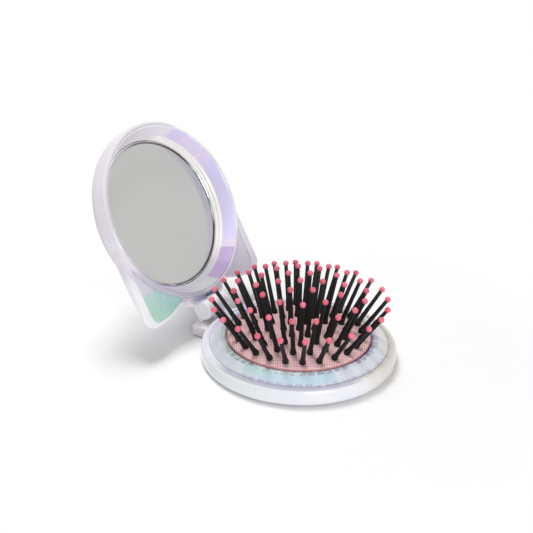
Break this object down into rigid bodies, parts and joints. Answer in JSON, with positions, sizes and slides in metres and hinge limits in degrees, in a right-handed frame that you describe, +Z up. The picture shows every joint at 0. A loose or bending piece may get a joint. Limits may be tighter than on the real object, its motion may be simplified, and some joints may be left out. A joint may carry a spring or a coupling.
{
  "type": "folding hairbrush with mirror",
  "caption": "Round pocket hairbrush that folds shut: a hinged lid with two pointed ears holds a mirror, and a pop-up rubber cushion carries ball-tipped pins.",
  "frame": {"origin": "centre of the round base, on the surface it rests on", "axes": "+Z up out of the cushion, +Y from the base towards the hinge, X along the hinge axis; the lid is open and the cushion popped up at rest"},
  "size_m": [0.072, 0.117, 0.0755],
  "materials": {
    "shell_pearl": "gloss pearl white with a faint lilac, pink and green shimmer",
    "bezel_pearl": "gloss pearl, pale blue, aqua and lilac shimmer",
    "lid_pearl": "gloss pearl white, lilac and mint shimmer",
    "liner_pearl": "gloss pearl, lavender to pale blue shimmer",
    "cover_white": "satin white",
    "plate_white": "satin white",
    "pin_steel": "bright drawn steel",
    "cushion_rubber": "matt dusty pink with a fine moulded mesh",
    "pin_nylon": "satin black",
    "tip_pink": "satin coral pink",
    "frame_chrome": "bright",
    "mirror_silver": "polished silvered glass",
    "tape_grey": "matt grey foam adhesive"
  },
  "bodies": {
    "base": {"base_shell": "shell_pearl", "base_bezel": "bezel_pearl", "base_cover": "cover_white", "hinge_pin": "pin_steel"},
    "lid": {"lid_shell": "lid_pearl", "lid_liner": "liner_pearl", "mirror_frame": "frame_chrome", "mirror_glass": "mirror_silver", "mirror_tape": "tape_grey", "hinge_cap": "cover_white"},
    "cushion": {"push_plate": "plate_white", "cushion_pad": "cushion_rubber", "pin_centre": "pin_nylon", "pin_ring_1": "pin_nylon", "pin_ring_2": "pin_nylon", "pin_ring_3": "pin_nylon", "pin_ring_4": "pin_nylon", "tip_centre": "tip_pink", "tip_ring_1": "tip_pink", "tip_ring_2": "tip_pink", "tip_ring_3": "tip_pink", "tip_ring_4": "tip_pink"}
  },
  "joints": [
    {"name": "lid_hinge", "type": "hinge", "parent": "base", "child": "lid", "pos_m": [0, 0.0399, 0.0096], "axis": [1, 0, 0], "range_deg": [0, 118.7]},
    {"name": "cushion_pop", "type": "slide", "parent": "base", "child": "cushion", "axis": [0, 0, -1], "range_m": [0, 0.004], "deforming": ["pin_centre", "pin_ring_1", "pin_ring_2", "pin_ring_3", "pin_ring_4", "tip_centre", "tip_ring_1", "tip_ring_2", "tip_ring_3", "tip_ring_4"]}
  ],
  "couplings": [
    {"joint": "cushion_pop", "follows": "lid_hinge", "m_per_rad": 0.00193}
  ]
}
